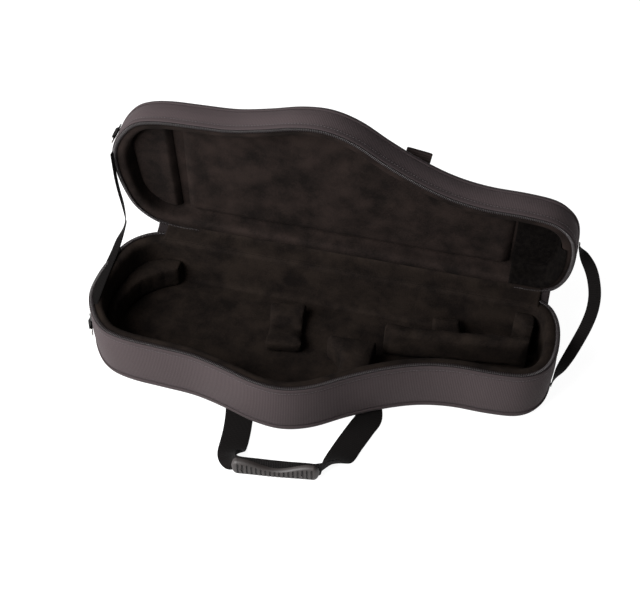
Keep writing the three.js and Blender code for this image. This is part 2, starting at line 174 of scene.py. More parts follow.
def surface(name, grid, wrap=(True, False), facing="out", caps=(), smooth=True):
    """A mesh of quads over a grid of points in metres. caps names ends to fill with one flat
    face: first or last, of the rows or of the columns. facing is "out" or "in" for a shape that
    closes round its middle, or the direction that a sheet faces."""
    rows, cols = grid.shape[:2]
    quads, r0, c0 = grid_faces(rows, cols, wrap)
    along_rows = np.linalg.norm(np.roll(grid, -1, axis=0) - grid, axis=2).mean(axis=1)
    along_cols = np.linalg.norm(np.roll(grid, -1, axis=1) - grid, axis=2).mean(axis=0)
    u = np.concatenate([[0], np.cumsum(along_rows)])
    v = np.concatenate([[0], np.cumsum(along_cols)])
    ru, cv = np.meshgrid(r0, c0, indexing="ij")
    uv = np.stack([
        np.stack([u[ru + a], v[cv + b]], axis=-1) for a, b in ((0, 0), (1, 0), (1, 1), (0, 1))
    ], axis=2).reshape(-1, 2)
    index = np.arange(rows * cols).reshape(rows, cols)
    ends = {"first row": index[0], "last row": index[-1][::-1],
            "first column": index[:, 0][::-1], "last column": index[:, -1]}
    points = grid.reshape(-1, 3)
    faces = quads.tolist()
    for cap in caps:
        faces.append(ends[cap].tolist())
        spread = points[ends[cap]] - points[ends[cap]].mean(axis=0)
        cap_normal = np.linalg.svd(spread, full_matrices=False)[2][2]
        second = np.cross(cap_normal, (1, 0, 0))
        uv = np.vstack([uv, np.column_stack([spread[:, 0], spread @ second])])
    mesh = bpy.data.meshes.new(name)
    mesh.from_pydata(points.tolist(), [], faces)
    mesh.uv_layers.new(name="UVMap").data.foreach_set("uv", uv.astype(np.float32).ravel())
    a, b, c, d = ((points - points.mean(axis=0))[quads[:, k]] for k in range(4))
    if isinstance(facing, str):
        total = np.einsum("ij,ij->", a, np.cross(b, c)) + np.einsum("ij,ij->", a, np.cross(c, d))
        total = total if facing == "out" else -total
    else:
        total = (np.cross(c - a, d - b) @ np.asarray(facing, float)).sum()
    if total < 0:
        mesh.flip_normals()
    mesh.polygons.foreach_set("use_smooth", [smooth] * len(mesh.polygons))
    mesh.update()
    return linked(name, mesh)


def swept(profile, place=base_place, rim=slice(None), swell=0.0):
    """Carries a profile of (inset, height) points round the outline: each point is the rim point
    moved inwards by the inset, at that height. swell lets the cloth stand in and out a little,
    by a sum of slow sines round the case, most at half height."""
    inset, height = np.asarray(profile, float).T
    turn = np.linspace(0, 2 * math.pi, COLUMNS, endpoint=False)[rim, None]
    middle = np.sin(np.linspace(0, math.pi, len(height)))[None, :]
    wave = np.sin(7 * turn + 0.6) + 0.6 * np.sin(13 * turn + 2.1) + 0.3 * np.sin(29 * turn)
    inset = inset[None, :] - swell * middle * wave
    xy = RIM[rim, None, :] - inset[..., None] * OUTWARD[rim, None, :]
    z = np.broadcast_to(height, xy.shape[:2])[..., None]
    return place(np.concatenate([xy, z], axis=2))


def keep(piece, body, slot, finish, *nodes):
    """Gives a finished piece its material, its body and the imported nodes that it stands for."""
    piece.data.materials.append(finish)
    if nodes:
        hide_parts(*nodes)
    if body:
        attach(piece, body)
    return piece


def thicken(piece, thickness, offset=-1.0):
    """Gives a sheet its real thickness, in millimetres."""
    wall = piece.modifiers.new("Thickness", "SOLIDIFY")
    wall.thickness = thickness * MM
    wall.offset = offset
    return piece


print(f"lid stands open {math.degrees(OPEN_ANGLE):.1f} degrees about the hinge")

# %% [markdown]
# ## Finishes
# Every finish is built from nodes. Colours are the sRGB values of the cloth, rubber or metal,
# turned to linear by one function, and patterns take their size from the real thread or nap.

# %% Colour, node and pattern helpers
def colour(code):
    """An sRGB hex value as linear red, green, blue and alpha."""
    channel = np.array([int(code[i:i + 2], 16) for i in (0, 2, 4)]) / 255
    linear = np.where(channel <= 0.04045, channel / 12.92, ((channel + 0.055) / 1.055) ** 2.4)
    return (*linear.tolist(), 1.0)


def start(name, **sockets):
    """A new material with its shader's even values set on the shader itself."""
    made = bpy.data.materials.new(name)
    made.use_nodes = True
    shader = made.node_tree.nodes["Principled BSDF"]
    for key, value in sockets.items():
        shader.inputs[key.replace("_", " ")].default_value = value
    return made, made.node_tree, shader


def add(tree, kind, inputs=(), **settings):
    """Adds one node, with its settings, and its inputs set or linked."""
    made = tree.nodes.new(kind)
    for key, value in settings.items():
        setattr(made, key, value)
    for key, value in dict(inputs).items():
        if isinstance(value, bpy.types.NodeSocket):
            tree.links.new(value, made.inputs[key])
        else:
            made.inputs[key].default_value = value
    return made


def bands(tree, vector, direction, pitch_mm, wobble=0.0):
    """Even ribs across one direction. A wave texture repeats every pi / 10 units at scale 1."""
    return add(tree, "ShaderNodeTexWave", {
        "Vector": vector, "Scale": math.pi / 10 / (pitch_mm * MM), "Distortion": wobble,
        "Detail": 1.0, "Detail Scale": 1.0,
    }, wave_type="BANDS", bands_direction=direction, wave_profile="SIN").outputs["Fac"]


def cloudy(tree, vector, size_mm, detail=3.0):
    """Soft noise whose patches are about the given size."""
    return add(tree, "ShaderNodeTexNoise", {
        "Vector": vector, "Scale": 1 / (size_mm * MM), "Detail": detail, "Roughness": 0.55,
    }).outputs["Fac"]


def ramp(tree, factor, *stops):
    """A colour ramp from (position, hex) stops."""
    made = add(tree, "ShaderNodeValToRGB", {"Fac": factor})
    elements = made.color_ramp.elements
    while len(elements) < len(stops):
        elements.new(0.5)
    for element, (position, code) in zip(elements, stops):
        element.position = position
        element.color = colour(code)
    return made.outputs["Color"]


def mixed(tree, factor, first, second, blend="MIX"):
    """Two colours mixed by a factor."""
    return add(tree, "ShaderNodeMix", {0: factor, 6: first, 7: second},
               data_type="RGBA", blend_type=blend).outputs[2]


def relief(tree, shader, height, distance_mm, strength=1.0, under=None):
    """Bump of the given height, laid over another bump if there is one."""
    inputs = {"Height": height, "Distance": distance_mm * MM, "Strength": strength}
    if under is not None:
        inputs["Normal"] = under
    normal = add(tree, "ShaderNodeBump", inputs).outputs["Normal"]
    tree.links.new(normal, shader.inputs["Normal"])
    return normal


# %% [markdown]
# Woven cloth: ribbed nylon on the outside, the same cloth folded as binding, and grosgrain
# webbing. Threads are about 0.7 mm apart on the real cloth; they are drawn 2.4 mm apart so that
# the ribs still show at arm's length.

# %% Woven nylon, binding and webbing
def woven(name, dark, light, rib_mm, cross_mm, depth_mm, patch):
    """Ribs in one direction crossed by finer ones in the other, with a slight cloudy fade."""
    made, tree, shader = start(name, Roughness=0.72, IOR=1.5, Sheen_Weight=0.02,
                               Sheen_Roughness=0.5, Specular_IOR_Level=0.04)
    uv = add(tree, "ShaderNodeUVMap", uv_map="UVMap").outputs["UV"]
    place = add(tree, "ShaderNodeTexCoord").outputs["Object"]
    ribs = bands(tree, uv, "X", rib_mm, 0.25)
    weft = bands(tree, uv, "Y", cross_mm, 0.25)
    weave = add(tree, "ShaderNodeMath", {0: ribs, 1: weft}, operation="MULTIPLY").outputs[0]
    thread = ramp(tree, weave, (0.0, dark), (0.75, light))
    fade = cloudy(tree, place, 60, 2.0)
    softened_fade = add(tree, "ShaderNodeMath", {0: fade, 1: 0.5}, operation="MULTIPLY").outputs[0]
    tone = mixed(tree, softened_fade, thread, colour(patch))
    tree.links.new(tone, shader.inputs["Base Color"])
    relief(tree, shader, weave, depth_mm, 0.8)
    return made


# Ribbed nylon: matt threads with a little sheen, paler where the light rakes over the ribs.
NYLON = woven("ribbed_nylon", "251f20", "453d3e", 2.4, 1.6, 0.35, "362f30")
# The same cloth cut on the fold for the rim.
BINDING = woven("nylon_binding", "221d1e", "403839", 1.9, 1.4, 0.3, "322b2c")
# Grosgrain webbing: ribs run straight across the strap, nearly black.
WEBBING = woven("grosgrain_webbing", "040303", "0d0b0a", 3.4, 1.7, 0.5, "090707")
WEBBING_GREY = woven("faded_webbing", "151110", "322a28", 3.4, 1.7, 0.5, "241e1e")
ZIP_TAPE = woven("zip_tape_cloth", "0d0b0b", "1d1819", 1.6, 1.2, 0.2, "1c1718")
print("woven finishes: nylon, binding, webbing, zip tape")

# %% [markdown]
# Short plush lies one way where a hand has stroked it and the other way beside it, so it shows
# soft dark and pale patches a few centimetres wide. Sheen gives the pale edge of a pile fabric.

# %% Plush, loop fabric and foam
def plush(name, dark, light, patch_mm, sheen):
    """Large patches of laid pile, with a fine nap over them."""
    made, tree, shader = start(name, Roughness=0.92, IOR=1.45, Sheen_Weight=sheen,
                               Sheen_Roughness=0.35, Specular_IOR_Level=0.04)
    shader.inputs["Sheen Tint"].default_value = colour("8d8078")
    place = add(tree, "ShaderNodeTexCoord").outputs["Object"]
    patches = cloudy(tree, place, patch_mm, 4.0)
    nap = cloudy(tree, place, 2.2, 2.0)
    both = add(tree, "ShaderNodeMath", {0: nap, 1: 0.35, 2: -0.17}, operation="MULTIPLY_ADD")
    sum_ = add(tree, "ShaderNodeMath", {0: patches, 1: both.outputs[0]}, operation="ADD")
    tone = ramp(tree, sum_.outputs[0], (0.34, dark), (0.66, light))
    tree.links.new(tone, shader.inputs["Base Color"])
    under = relief(tree, shader, patches, 3.0, 0.5)
    relief(tree, shader, nap, 0.7, 0.6, under)
    return made


PLUSH_LID = plush("laid_plush", "0d0a09", "1c1614", 40, 0.02)
PLUSH_BASE = plush("tray_plush", "0b0807", "181310", 34, 0.02)
# Loop fabric: dense black loops with next to no gloss. Its near-black tone is partly painted
# shade:
# it stands for the shadow in the deep recess at the lid's end.
LOOP_AND_RECESS_SHADE = plush("loop_fabric_painted_recess_shade", "030202", "090706", 9, 0.01)
print("plush finishes ready")

# %% [markdown]
# The grip is soft moulded rubber with a fine spark-eroded grain, the rings and sliders are
# steel plated with bright nickel, and the zip's coil is black nylon.

# %% Rubber, nickel, coil and thread
def grained(name, dark, light, grain_mm, **sockets):
    """A moulded or plated surface: fine grain in the colour and in the relief."""
    made, tree, shader = start(name, **sockets)
    place = add(tree, "ShaderNodeTexCoord").outputs["Object"]
    grain = cloudy(tree, place, grain_mm, 3.0)
    wear = cloudy(tree, place, 12 * grain_mm, 3.0)
    both = mixed(tree, wear, ramp(tree, grain, (0.3, dark), (0.7, light)), colour(light))
    tree.links.new(both, shader.inputs["Base Color"])
    relief(tree, shader, grain, 0.08, 0.5)
    return made


RUBBER = grained("moulded_rubber", "0b0807", "1b1412", 1.0, Roughness=0.6, IOR=1.52)
NICKEL = grained("bright_nickel_plate", "c4c2bd", "dedcd8", 0.8, Roughness=0.2, Metallic=1.0)
COIL = grained("nylon_coil", "151212", "262122", 0.7, Roughness=0.38, IOR=1.53)
THREAD = grained("bonded_thread", "241f20", "3d3637", 0.6, Roughness=0.6, IOR=1.5)
BLACK_THREAD = grained("black_thread", "0e0b0b", "1b1717", 0.6, Roughness=0.6, IOR=1.5)
print("solid finishes ready")

# %% [markdown]
# ## The camera, the light and the floor
# The case is looked at from in front and above, from a little to the right, with a lens that
# takes in the whole of it. A big soft light stands to the upper left and a weak one to the
# right. The floor is flat under the case and slopes up far away, so that no edge of it shows.

# %% Camera, lights and floor
CAMERA_AZIMUTH = math.radians(13.80)
CAMERA_ELEVATION = math.radians(44.54)
CAMERA_ROLL = math.radians(0.84)
CAMERA_DISTANCE = 1.6738
CAMERA_TARGET = Vector((-0.0142, 0.080, 0.0617))


def make_camera():
    """A camera that looks at the target from an azimuth, an elevation and a distance."""
    az, el = CAMERA_AZIMUTH, CAMERA_ELEVATION
    back = Vector((math.sin(az) * math.cos(el), -math.cos(az) * math.cos(el), math.sin(el)))
    right = Vector((math.cos(az), math.sin(az), 0))
    up = back.cross(right)
    c, s = math.cos(CAMERA_ROLL), math.sin(CAMERA_ROLL)
    axes = Matrix((right * c + up * s, up * c - right * s, back)).transposed().to_4x4()
    camera = linked("camera", bpy.data.cameras.new("camera"))
    camera.data.lens = 59.256
    camera.data.sensor_width = 36
    camera.data.clip_start = 0.05
    camera.matrix_world = Matrix.Translation(CAMERA_TARGET + back * CAMERA_DISTANCE) @ axes
    bpy.context.scene.camera = camera


def soft_light(name, place, target, size, power):
    """A square area light aimed at a point."""
    lamp = bpy.data.lights.new(name, "AREA")
    lamp.size = size
    lamp.energy = power
    lamp_object = linked(name, lamp)
    lamp_object.location = place
    aim = (Vector(target) - Vector(place)).to_track_quat("-Z", "Y")
    lamp_object.rotation_euler = aim.to_euler()


make_camera()
soft_light("key_light", (-1.1, -1.0, 1.1), (0, 0, 0.1), 1.5, 122)
soft_light("fill_light", (1.8, -1.6, 1.6), (0, 0, 0.1), 1.8, 1.5)
world = bpy.data.worlds.new("studio")
world.use_nodes = True
world.node_tree.nodes["Background"].inputs["Color"].default_value = (1, 1, 1, 1)
world.node_tree.nodes["Background"].inputs["Strength"].default_value = 0.25
bpy.context.scene.world = world
bpy.context.scene.view_settings.view_transform = "Standard"

FLOOR_FLAT, FLOOR_FAR, FLOOR_RISE, FLOOR_DROP = 5, 40, 7.0, 0.0006
floor_finish, _, floor_shader = start("pale_floor", Roughness=0.8)
floor_shader.inputs["Base Color"].default_value = (0.2, 0.2, 0.2, 1)
floor_shader.inputs["Emission Color"].default_value = (1, 1, 1, 1)
floor_shader.inputs["Emission Strength"].default_value = 0.93
edges = (-FLOOR_FAR, -FLOOR_FLAT, FLOOR_FLAT, FLOOR_FAR)
far_x, far_y = np.meshgrid(edges, edges, indexing="ij")
rise = np.where(np.maximum(abs(far_x), abs(far_y)) > FLOOR_FLAT, FLOOR_RISE, -FLOOR_DROP)
floor = surface("studio_floor", np.stack([far_x, far_y, rise], axis=2), wrap=(False, False),
                facing=(0, 0, 1), smooth=False)
floor.data.materials.append(floor_finish)
print("camera, two lights and a floor")

# %% [markdown]
# ## The base's cover
# The real cover is cut as a bottom panel and one long side panel, sewn to each other over a
# corded welt, with a folded binding round the rim. Each is made here as its own profile carried
# round the outline, so that the seams are real gaps and ridges.

# %% Cover, welt and binding of either half
ROUND = 12


def rounding(seam, face):
    """The quarter-round edge between the welt and the flat panel: a circle of the edge radius."""
    angle = np.linspace(0, math.pi / 2, 9)
    sign = 1 if face > seam else -1
    centre = face - sign * ROUND
    curve = np.column_stack([ROUND * (1 - np.cos(angle)), centre + sign * ROUND * np.sin(angle)])
    return np.vstack([(0.2, seam), curve, (ROUND + 3, face)])


def circle(inset, height, radius, count=10):
    """A round section: cosine inwards, sine upwards."""
    turn = np.linspace(0, 2 * math.pi, count, endpoint=False)
    return np.column_stack([inset + radius * np.cos(turn), height + radius * np.sin(turn)])


def cover(half, place, body, face, welt, rim, sides):
    """The nylon shell of one half: panel, welt, side wall and binding, from face to rim."""
    toward = 1 if rim > face else -1
    panel = surface(f"{half}_outer_panel", swept(rounding(welt - toward * 1.3, face), place),
                    caps=("last column",))
    cord = surface(f"{half}_welt_cord", swept(circle(0.1, welt, 1.6), place), wrap=(True, True))
    low, high = welt + toward * 1.4, rim - toward * 8.6
    wall_line = spline([(0.6, low), (-0.5, low + (high - low) * 0.25),
                        (-1.1, (low + high) / 2), (-0.6, low + (high - low) * 0.78),
                        (0.3, high)], 16)
    wall = surface(f"{half}_side_wall", swept(wall_line, place, swell=0.5))
    edge = spline([(0.4, rim - toward * 9), (-0.7, rim - toward * 8), (-0.9, rim - toward * 4),
                   (-0.6, rim - toward * 0.8), (0.7, rim), (2.6, rim - toward * 0.1),
                   (3.4, rim - toward * 1.2), (3.5, rim - toward * 6)], 18)
    binding = surface(f"{half}_rim_binding", swept(edge, place))
    for sheet, thickness in ((panel, 1.6), (wall, 1.6), (binding, 0.7)):
        thicken(sheet, thickness)
    pieces = (panel, cord, wall, binding)
    slots = ("nylon", "piping", "nylon", "binding")
    for piece, slot, finish, node in zip(pieces, slots, (NYLON, BINDING) * 2, sides):
        keep(piece, body, slot, finish, node)
    return pieces


base_cover = cover("base", base_place, "base", 0, 13.3, BASE_HEIGHT,
                   ("base_bottom_cover", "base_piping", "base_side_cover", "base_binding"))
lid_cover = cover("lid", lid_place, "lid", LID_HEIGHT, 38.7, 0,
                  ("lid_top_cover", "lid_piping", "lid_side_cover", "lid_binding"))
print("covers:", [piece.name for piece in base_cover + lid_cover])

# %% [markdown]
# ## The zip
# A coil zip runs round three sides of each rim: a woven tape, and on it the coil, whose turns
# show as a row of small bars. The turns are 1.5 mm apart on a real zip; they are drawn 2.6 mm
# apart. Each bar is a squared-off ball with a few faces, repeated along the rim as one array.

# %% Zip tape and coil
HINGE_RUN = (RIM[:, 1] > -1.5) & (RIM[:, 0] > -235) & (RIM[:, 0] < 278)
_last = np.nonzero(HINGE_RUN)[0].max()
ZIP_RUN = (np.arange(COLUMNS - HINGE_RUN.sum()) + _last + 1) % COLUMNS
COIL_PITCH = 2.6


def beads(name, centres, frames, size, squareness=0.55, around=8, along=5):
    """A squared-off ball at each centre. Its section is a circle whose cosine and sine are raised
    to a power, scaled along its length the same way; frames hold its three axes."""
    turn = np.linspace(0, 2 * math.pi, around, endpoint=False) + math.pi / around
    lift = np.linspace(-1, 1, along)
    belly = (1 - np.abs(lift) ** 3) ** 0.5 * 0.75 + 0.25
    ring = np.stack([power(np.cos(turn), squareness), power(np.sin(turn), squareness)], axis=1)
    unit = np.concatenate([
        np.broadcast_to(lift[:, None, None], (along, around, 1)),
        belly[:, None, None] * ring[None],
    ], axis=2).reshape(-1, 3) * np.asarray(size) / 2
    points = centres[:, None, :] + np.einsum("kj,nji->nki", unit, frames)
    quads, _, _ = grid_faces(along, around, (False, True))
    ends = [list(range(around)), list(range(around * (along - 1), around * along))[::-1]]
    per = along * around
    shift = np.arange(len(centres)) * per
    faces = (quads[None] + shift[:, None, None]).reshape(-1, 4).tolist()
    for end in ends:
        faces += (np.array(end)[None] + shift[:, None]).tolist()
    mesh = bpy.data.meshes.new(name)
    mesh.from_pydata(points.reshape(-1, 3).tolist(), [], faces)
    first = mesh.polygons[0]
    middle = points[0].mean(axis=0)
    if first.normal.dot(first.center - Vector(middle)) < 0:
        mesh.flip_normals()
    mesh.polygons.foreach_set("use_smooth", [True] * len(mesh.polygons))
    return linked(name, mesh)


def rim_frames(path, direction):
    """Three axes at each point of a path round the rim: across it, along it and up."""
    along = unit_rows(np.gradient(path, axis=0))
    across = np.column_stack([along[:, 1], -along[:, 0], np.zeros(len(path))])
    along = np.column_stack([along, np.zeros(len(path))])
    up = np.tile((0.0, 0.0, 1.0), (len(path), 1))
    frames = np.stack([across, along, up], axis=1)
    return direction(frames) if direction else frames


def row_round(name, inset, height, size, pitch, place, direction=None, rim=None, **shape):
    """A row of beads along the rim, at one inset and height, evenly spaced."""
    chosen = np.arange(COLUMNS) if rim is None else rim
    line = RIM[chosen] - inset * OUTWARD[chosen]
    length = np.linalg.norm(np.diff(line, axis=0), axis=1).sum()
    path = even(line, int(length / pitch), closed=rim is None)
    centres = place(np.column_stack([path, np.full(len(path), height)]))
    frames = rim_frames(path, direction)
    return beads(name, centres, frames, np.asarray(size) * MM, **shape), len(path)


for half, place, direction, side in (("base", base_place, None, 1),
                                     ("lid", lid_place, lid_direction, -1)):
    rim = BASE_HEIGHT if side == 1 else 0
    section = [(0.3, rim + side * 0.2), (0.3, rim + side * 0.7), (6.6, rim + side * 0.7),
               (6.6, rim + side * 0.2)]
    tape = surface(f"{half}_zip_ribbon", swept(section, place, rim=ZIP_RUN), wrap=(False, True),
                   caps=("first row", "last row"), smooth=False)
    keep(tape, half, "zip_tape", ZIP_TAPE, f"{half}_zip_tape")
    coil, turns = row_round(f"{half}_zip_teeth", 3.3, rim + side * 1.3, (5.2, 1.5, 1.3),
                            COIL_PITCH, place, direction, ZIP_RUN)
    keep(coil, half, "zip_coil", COIL, f"{half}_zip_coil")
    print(half, "zip:", turns, "turns")
    stitches, count = row_round(f"{half}_binding_stitches", -0.95, rim - side * 7.2,
                                (0.7, 3.2, 0.7), 4.8, place, direction, around=6, along=4)
    keep(stitches, half, "binding", THREAD)
    print(half, "binding:", count, "stitches")

# %% [markdown]
# ## The plush trays
# A moulded foam tray stiffens each half and the plush is glued over it, so only the plush is
# seen: a rounded lip as wide as the wall is thick, a steep wall and a floor. One profile makes
# all three. It stands for both the foam and the lining.

# %% Tray linings
BASE_TRAY = spline([(3.9, 87), (4.3, 91.6), (6.5, 93.9), (11.5, 94.9), (16.5, 94), (20, 90.5),
                    (21.2, 84), (21, 60), (21, 32), (22.5, 21), (26, 16.8), (30, 16.1)], 44)
BASE_TRAY = np.vstack([BASE_TRAY, (31.5, 16.1), (33, 16.1)])
LID_TRAY = spline([(3.9, 8), (4.3, 3.6), (6.5, 1.6), (11.5, 0.8), (16.5, 1.7), (20, 5),
                   (21.2, 11), (21, 22), (22, 29), (25, 32.8), (29, 33.7)], 40)
LID_TRAY = np.vstack([LID_TRAY, (30.5, 33.7), (32, 33.7)])
base_tray = surface("base_plush_tray", swept(BASE_TRAY, swell=0.25), facing="in",
                    caps=("last column",))
keep(thicken(base_tray, 1.2), "base", "plush", PLUSH_BASE, "base_lining", "base_foam")
lid_tray = surface("lid_plush_tray", swept(LID_TRAY, lid_place, swell=0.25), facing="in",
                   caps=("last column",))
keep(thicken(lid_tray, 1.2), "lid", "plush", PLUSH_LID, "lid_lining", "lid_foam")
print("trays:", len(base_tray.data.vertices) + len(lid_tray.data.vertices), "points")

# %% [markdown]
# ## Padded panels in the lid
# Each pad is a loft: a closed section, flat below and crowned above, is carried along X between
# two edges. Its sides pull down to the tray, and slow waves across it are the soft hollows that
# use leaves in plush.

# %% The lid's pads and its loop panel
def span(x, inset):
    """The nearest and farthest y of the outline at each x, moved in by an inset."""
    line = RIM - inset * OUTWARD
    left, right = line[:, 0].argmin(), line[:, 0].argmax()
    front = line[left:right + 1] if left < right else np.vstack([line[left:], line[:right + 1]])
    back = np.vstack([line[right:], line[:left + 1]])
    return (np.interp(x, front[:, 0], front[:, 1]),
            np.interp(x, back[::-1, 0], back[::-1, 1]))


def lid_pad(name, left, right, slant, crown, soften, ripple, lean=0.0, rise=0.0,
            roof=33.4, rows=90, cols=56):
    """Rows run along X from left to right, the left edge slanting by slant per mm; columns run
    over the top from the hinge to the front and back underneath. lean slants the right edge;
    rise fills the pad out towards the hinge. The height is the crown times a
    rounding of each edge: one less the square of what is left of the softened margin."""
    t = np.linspace(0, 1, rows)[:, None]
    v = np.linspace(0, 1, cols)[None, :]
    middle = left + slant * 130 + (right - left - slant * 130) * t
    low, high = span(middle, 22.5)
    y = high + (low - high) * v
    start_x = left - slant * y
    end_x = right - lean * y
    x = start_x + (end_x - start_x) * t
    side = np.minimum(x - start_x, end_x - x)
    ends = np.minimum(high - y, y - low)
    rounded = lambda gap: 1 - (1 - np.clip(gap / soften, 0, 1)) ** 2
    waves = (np.sin(x / 23 + 1.5 * np.sin(y / 31)) * np.sin(y / 27 + 0.8 * np.sin(x / 41))
             + 0.5 * np.sin(x / 11 + y / 17) * np.sin(y / 13))
    swell = crown + ripple * waves + rise * np.exp(-(high - y) / 38)
    height = swell * rounded(side) * rounded(ends) + 0.3
    top = np.stack([x, y, roof - height], axis=2)
    under = np.stack([x, y, np.full_like(x, roof)], axis=2)[:, ::-1]
    loop = np.concatenate([top, under], axis=1)
    return surface(name, lid_place(loop), wrap=(False, True), caps=("first row", "last row"))


main_pad = lid_pad("lid_main_cushion", -263, 265, 0.075, 5.0, 15, 0.9, rise=9.0, rows=130)
bow_pad = lid_pad("lid_end_cushion", -337, -273, 0.0, 11.5, 10, 0.5, lean=0.04, rows=50)
# The loop panel's near-black finish is partly painted shade of the lid's deep end recess.
loop_panel = lid_pad("lid_loop_sheet", 269, 336, 0.0, 1.4, 3, 0.15, rows=40)
for pad, fill, finish, slot, node in (
        (main_pad, 0.4, PLUSH_LID, "plush", "lid_main_pad"),
        (bow_pad, 0.7, PLUSH_LID, "plush", "lid_bow_pad"),
        (loop_panel, 0.2, LOOP_AND_RECESS_SHADE, "loop_panel", "lid_loop_panel")):
    keep(pad, "lid", slot, finish, node)

# The near-black loop fabric goes on down the tray's wall, round the corner by the hinge: a dark
# sheet that paints the shade of the lid's deep end recess on that wall.
corner = np.nonzero((RIM[:, 0] > 267) & (RIM[:, 1] > -118))[0]
jump = np.nonzero(np.diff(corner) > 1)[0]
corner = np.roll(corner, -(jump[0] + 1)) if len(jump) else corner
RECESS_SHADE_PROFILE = spline([(13.5, -0.3), (17.2, 0.5), (21.2, 4.2), (22.4, 11), (22.3, 22), (23.2, 28.2),
                      (26, 31.4), (31, 32)], 26)
recess_shade_wall = surface("lid_wall_painted_recess_shade", swept(RECESS_SHADE_PROFILE, lid_place, rim=corner),
                    wrap=(False, False), facing=tuple(lid_direction((-1, -1, 0))))
keep(thicken(recess_shade_wall, 0.9, 1.0), "lid", "loop_panel", LOOP_AND_RECESS_SHADE)
print("lid pads:", main_pad.name, bow_pad.name, loop_panel.name)

# %% [markdown]
# ## Stuffed supports in the base
# The supports in the tray are foam blocks in plush socks: their sides swell between the seams.
# Each packed block is copied, remeshed to even 5 mm faces and blown up gently as cloth, without
# gravity, and no point may move further than a cap, so that it stays in its place.

# %% Cloth-simulated cushions
PRESSURE = 4
CLOTH_FRAMES = 20


def mesh_points(mesh):
    """The points of a mesh, one row each."""
    flat = np.empty(len(mesh.vertices) * 3, np.float32)
    mesh.vertices.foreach_get("co", flat)
    return flat.reshape(-1, 3)


def fresh_copy(node, name, shrink_mm):
    """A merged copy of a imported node's mesh, drawn in a little towards its middle."""
    mesh = frame["nodes"][node].data.copy()
    mesh.materials.clear()
    points = mesh_points(mesh)
    low, high = points.min(axis=0), points.max(axis=0)
    middle = (low + high) / 2
    middle[2] = low[2]
    scale = 1 - 2 * shrink_mm * MM / (high - low)
    mesh.vertices.foreach_set("co", ((points - middle) * scale + middle).ravel())
    piece = linked(name, mesh)
    weld = piece.modifiers.new("Weld", "WELD")
    weld.merge_threshold = 0.0001
    return piece


def bake(piece):
    """Replaces a piece's mesh by the mesh that its modifiers make."""
    graph = bpy.context.evaluated_depsgraph_get()
    made = bpy.data.meshes.new_from_object(piece.evaluated_get(graph))
    piece.modifiers.clear()
    piece.data = made
    return piece


def stuffed(node, name, voxel_mm=5.0, cap_mm=4.0, shrink_mm=1.5):
    """Remesh, inflate as cloth under pressure for 20 frames, cap the movement, subdivide."""
    piece = fresh_copy(node, name, shrink_mm)
    remesh = piece.modifiers.new("Remesh", "REMESH")
    remesh.mode = "VOXEL"
    remesh.voxel_size = voxel_mm * MM
    bake(piece)
    rest = mesh_points(piece.data)
    cloth = piece.modifiers.new("Cloth", "CLOTH")
    cloth.settings.use_pressure = True
    cloth.settings.uniform_pressure_force = PRESSURE
    cloth.settings.effector_weights.gravity = 0
    for step in range(1, CLOTH_FRAMES + 1):
        bpy.context.scene.frame_set(step)
    bake(piece)
    bpy.context.scene.frame_set(1)
    push = mesh_points(piece.data) - rest
    size = np.linalg.norm(push, axis=1)[:, None]
    push *= np.minimum(1, cap_mm * MM / np.maximum(size, 1e-9))
    piece.data.vertices.foreach_set("co", (rest + push).ravel())
    rounder = piece.modifiers.new("Rounding", "SUBSURF")
    rounder.levels = rounder.render_levels = 1
    bake(piece)
    piece.data.polygons.foreach_set("use_smooth", [True] * len(piece.data.polygons))
    keep(piece, "base", "plush", PLUSH_BASE, node)
    print(name, len(piece.data.polygons), "faces")
    return piece


for node, fill in (("bow_cushion", 0.7), ("bell_cushion", 0.7), ("end_block", 0.8),
                   ("body_cradle", 0.6), ("upper_cradle", 0.6), ("neck_divider", 0.7)):
    stuffed(node, f"{node}_plush")

# %% [markdown]
# ## Webbing
# Every strap is one flat ribbon: a rounded rectangle carried along a route, turned so that its
# width follows the direction given at each point. Turning that direction by a quarter between
# two points is how the carry handle's webbing goes from lying flat to standing on edge.

# %% The ribbon
def ribbon(name, route, across, width, thickness, place=base_place, count=60, on_floor=False):
    """The section is a circle whose cosine and sine are raised to small powers, which makes a
    rectangle with round corners. It is scaled to width and thickness; width may change along
    the route. A ribbon on the floor is lifted where its lower edge would go through it."""
    line = spline(route, count)
    if np.ndim(width):
        width = spline(np.asarray(width, float)[:, None], count)
    along = unit_rows(np.gradient(line, axis=0))
    side = spline(across, count)
    side = unit_rows(side - along * np.sum(side * along, axis=1)[:, None])
    face = np.cross(along, side)
    if on_floor:
        line[:, 2] = np.maximum(line[:, 2], np.abs(side[:, 2]) * np.ravel(width) / 2 + 1.3)
    turn = np.linspace(0, 2 * math.pi, 20, endpoint=False)
    wide = power(np.cos(turn), 0.3) * 0.5
    thick = power(np.sin(turn), 0.5) * 0.5
    grid = (line[:, None, :] + side[:, None, :] * (wide[None, :] * width)[..., None]
            + face[:, None, :] * (thick * thickness)[None, :, None])
    return surface(name, place(grid), wrap=(False, True), caps=("first row", "last row"))


STITCH_PITCH = 3.6
STITCH_SIZE = np.array((2.6, 0.7, 0.6)) * MM


